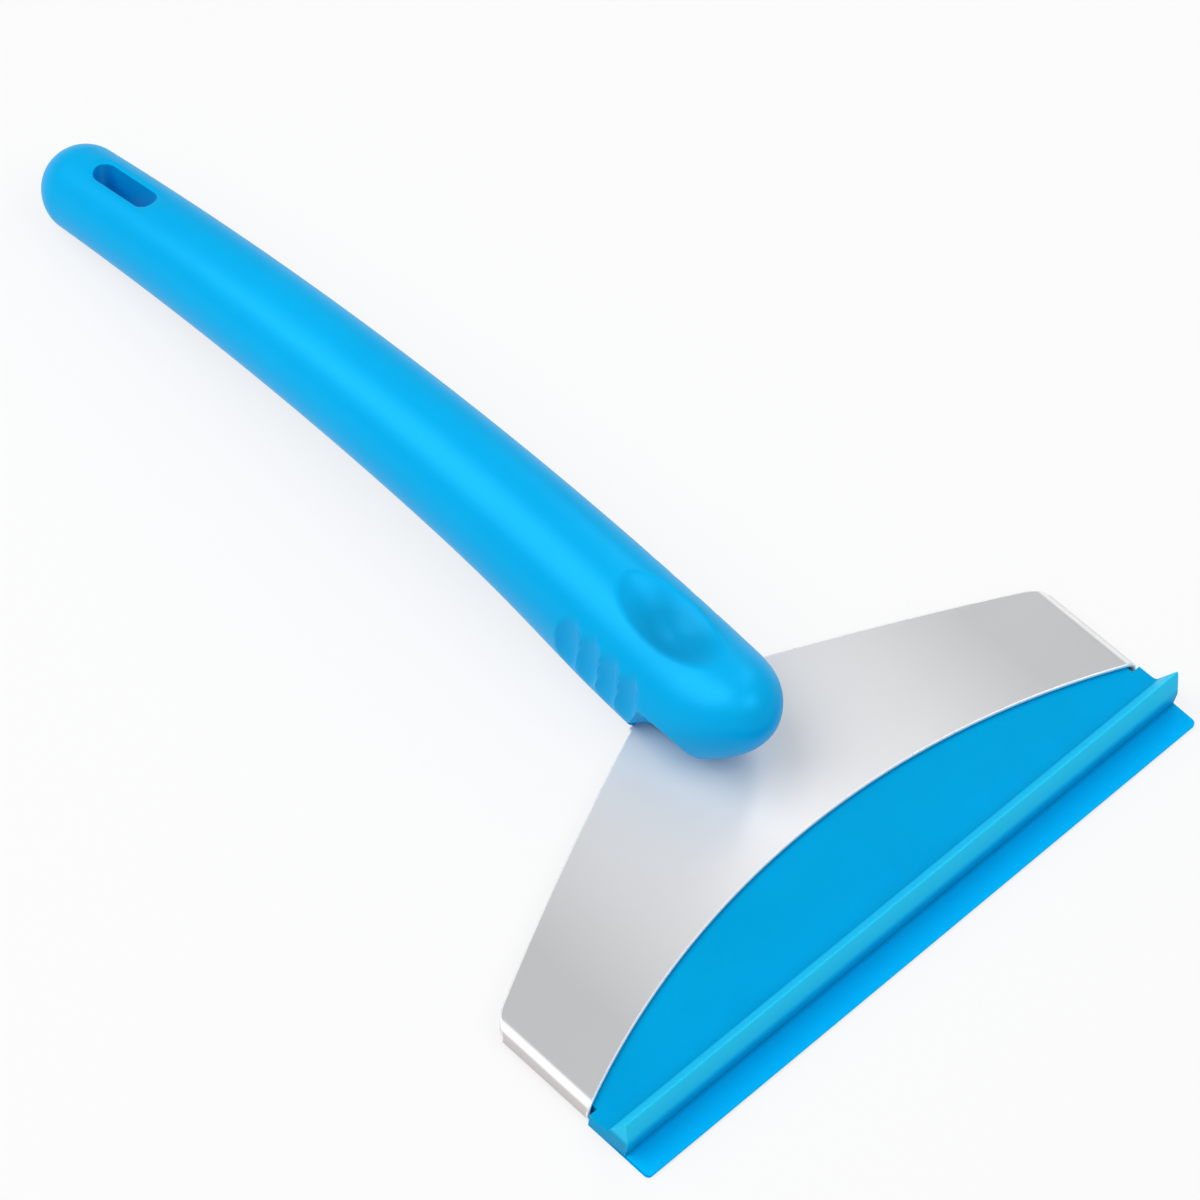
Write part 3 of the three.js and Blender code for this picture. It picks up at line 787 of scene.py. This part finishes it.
# Screws: zinc-plated pan-head screws with a cross recess, all driven from below. Two clamp the steel's
# neck and tang to the handle and two hold the cover. Only their heads show.
SCREW_HEAD = 2.9
SCREW_HEAD_HEIGHT = 1.5
SCREW_HEAD_DOME = [(0.6, 0), (1.5, 0.03), (2.1, 0.17), (2.6, 0.45), (2.85, 0.85), (SCREW_HEAD, 1.1)]
SCREW_SHANK = 1.25
SCREW_LENGTH = 11.0
SCREW_POINT = 2.5
SCREW_POINT_ROUND = 0.3
SEAT_GAP = 0.15
RECESS_ARM = 1.6
RECESS_WEB = 0.32
RECESS_TAPER = [(1.1, -0.5), (0.7, 1.0)]
ZINC_GREY = [(176, 178, 182), (196, 197, 199)]
SCREWS = {
    "tang_screw_front": (TANG_SCREW_Y[0], TANG_SEAT_Z),
    "tang_screw_rear": (TANG_SCREW_Y[1], TANG_SEAT_Z),
    "cover_screw_front": (COVER_SCREW_Y[0], underside(COVER_SCREW_Y[0]) + HEAD_SEAT),
    "cover_screw_rear": (COVER_SCREW_Y[1], underside(COVER_SCREW_Y[1]) + HEAD_SEAT),
}


def cross_recess(y, crown):
    """The tapered cross that the driver fits into, a little proud of the head so that it cuts cleanly."""
    arm, web = RECESS_ARM, RECESS_WEB
    corners = [(arm, web), (web, web), (web, arm), (-web, arm), (-web, web), (-arm, web),
               (-arm, -web), (-web, -web), (-web, -arm), (web, -arm), (web, -web), (arm, -web)]
    build = bmesh.new()
    skin_over(build, [[place(x * scale, y + dy * scale, crown + depth) for x, dy in corners]
                      for scale, depth in RECESS_TAPER])
    return new_object("cross", build)


def pan_head_screw(name, y, seat):
    """A screw turned about an upright line, head down, with its cross recess cut in."""
    under = seat - SEAT_GAP
    crown = under - SCREW_HEAD_HEIGHT
    tip = seat + SCREW_LENGTH
    profile = [(radius, crown + rise) for radius, rise in SCREW_HEAD_DOME]
    profile += [(SCREW_HEAD, under), (SCREW_SHANK, under), (SCREW_SHANK, tip - SCREW_POINT),
                (SCREW_POINT_ROUND, tip - SCREW_POINT_ROUND)]
    turns = 40
    angles = [2 * math.pi * turn / turns for turn in range(turns)]
    build = bmesh.new()
    skin_over(build, [[place(radius * math.cos(angle), y + radius * math.sin(angle), z) for angle in angles]
                      for radius, z in profile])
    screw = new_object(name + "_turned", build)
    join(screw, cross_recess(y, crown), "DIFFERENCE")
    crisp_edges(screw, angle=40)
    return screw


def zinc_plate():
    """Bright zinc with the faint mottling of a plated steel screw."""
    material, tree, shader = finish("zinc_plate")
    turned = noise(tree, scale=700)
    tree.links.new(mottled(tree, turned, ZINC_GREY), shader.inputs["Base Color"])
    tree.links.new(spread(tree, turned, 0.26, 0.4), shader.inputs["Roughness"])
    grain(tree, shader, turned, strength=0.1, depth=0.02)
    shader.inputs["Metallic"].default_value = 1
    return material


zinc = zinc_plate()
for node, (screw_y, seat) in SCREWS.items():
    screw = pan_head_screw(node, screw_y, seat)
    screw.data.materials.clear()
    screw.data.materials.append(zinc)
    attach(screw, "root")
    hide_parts(node)


# Studio: a pale floor, a white surround, a large key light over the handle's left side, two weaker lights
# from the front and a small softbox that brightens the steel beside the nose. The camera looks down at
# the blade's left corner from about a metre away.
EYE = (-459.92, -290.10, 807.45)
AIM = (3.60, 91.88, 10.97)
CAMERA_RIGHT = Vector((0.7081, -0.7022, 0.0735))
LENS = 156.45
SENSOR = 36
NEAREST = 0.05
FLOOR_HALF = 4
FLOOR_GAP = 0.0002
FLOOR_TONE = 0.85
FLOOR_WHITE = 0.75
SURROUND = 0.42


def pale_floor():
    """A white sweep that keeps a soft shadow, and that the camera and the steel see as white."""
    build = bmesh.new()
    bmesh.ops.create_grid(build, x_segments=1, y_segments=1, size=FLOOR_HALF)
    floor = new_object("floor", build)
    floor.location.z = -FLOOR_GAP
    material, tree, shader = finish("pale_floor")
    shader.inputs["Base Color"].default_value = (FLOOR_TONE, FLOOR_TONE, FLOOR_TONE, 1)
    shader.inputs["Roughness"].default_value = 0.9
    shader.inputs["Specular IOR Level"].default_value = 0
    white = tree.nodes.new("ShaderNodeEmission")
    rays = tree.nodes.new("ShaderNodeLightPath")
    seen = rays.outputs["Is Camera Ray"]
    for ray in ("Is Glossy Ray", "Is Transmission Ray"):
        either = tree.nodes.new("ShaderNodeMath")
        either.operation = "MAXIMUM"
        tree.links.new(seen, either.inputs[0])
        tree.links.new(rays.outputs[ray], either.inputs[1])
        seen = either.outputs["Value"]
    share = tree.nodes.new("ShaderNodeMath")
    share.operation = "MULTIPLY"
    share.inputs[1].default_value = FLOOR_WHITE
    mix = tree.nodes.new("ShaderNodeMixShader")
    tree.links.new(seen, share.inputs[0])
    tree.links.new(share.outputs["Value"], mix.inputs["Fac"])
    tree.links.new(shader.outputs["BSDF"], mix.inputs[1])
    tree.links.new(white.outputs["Emission"], mix.inputs[2])
    tree.links.new(mix.outputs["Shader"], tree.nodes["Material Output"].inputs["Surface"])
    floor.data.materials.append(material)


def area_light(name, spot, target, size, power):
    """A softbox at a spot, turned towards its target. Places and sizes are in metres."""
    light = bpy.data.lights.new(name, "AREA")
    light.shape = "RECTANGLE"
    light.size, light.size_y = size
    light.energy = power
    lamp = bpy.data.objects.new(name, light)
    bpy.context.scene.collection.objects.link(lamp)
    lamp.location = spot
    lamp.rotation_euler = (Vector(target) - Vector(spot)).to_track_quat("-Z", "Y").to_euler()


def studio_world(level):
    """An even white surround."""
    world = bpy.data.worlds.new("studio")
    world.use_nodes = True
    background = world.node_tree.nodes["Background"]
    background.inputs["Color"].default_value = (1, 1, 1, 1)
    background.inputs["Strength"].default_value = level
    bpy.context.scene.world = world


def photo_camera():
    """The camera at its eye point, looking at its aim, with its right-hand side as given."""
    camera = bpy.data.objects.new("camera", bpy.data.cameras.new("camera"))
    bpy.context.scene.collection.objects.link(camera)
    camera.data.lens = LENS
    camera.data.sensor_width = SENSOR
    camera.data.clip_start = NEAREST
    eye, aim = place(*EYE), place(*AIM)
    back = (eye - aim).normalized()
    right = (CAMERA_RIGHT - back * CAMERA_RIGHT.dot(back)).normalized()
    turn = Matrix((right, back.cross(right), back)).transposed().to_4x4()
    camera.matrix_world = Matrix.Translation(eye) @ turn
    bpy.context.scene.camera = camera


pale_floor()
studio_world(SURROUND)
area_light("key", spot=(-0.55, 0.42, 1.04), target=(0, 0, 0), size=(1.0, 1.0), power=8.8)
area_light("fill", spot=(-0.576, -0.476, 1.0), target=(0, 0, 0), size=(0.7, 0.7), power=0.6)
area_light("front_fill", spot=(0.125, -0.7, 1.03), target=(0, 0, 0), size=(0.6, 0.6), power=2.8)
area_light("steel_softbox", spot=(0.24, 0.035, 0.3), target=(0.04, -0.09, 0), size=(0.06, 0.3), power=0.15)
photo_camera()
bpy.context.scene.view_settings.view_transform = "Standard"
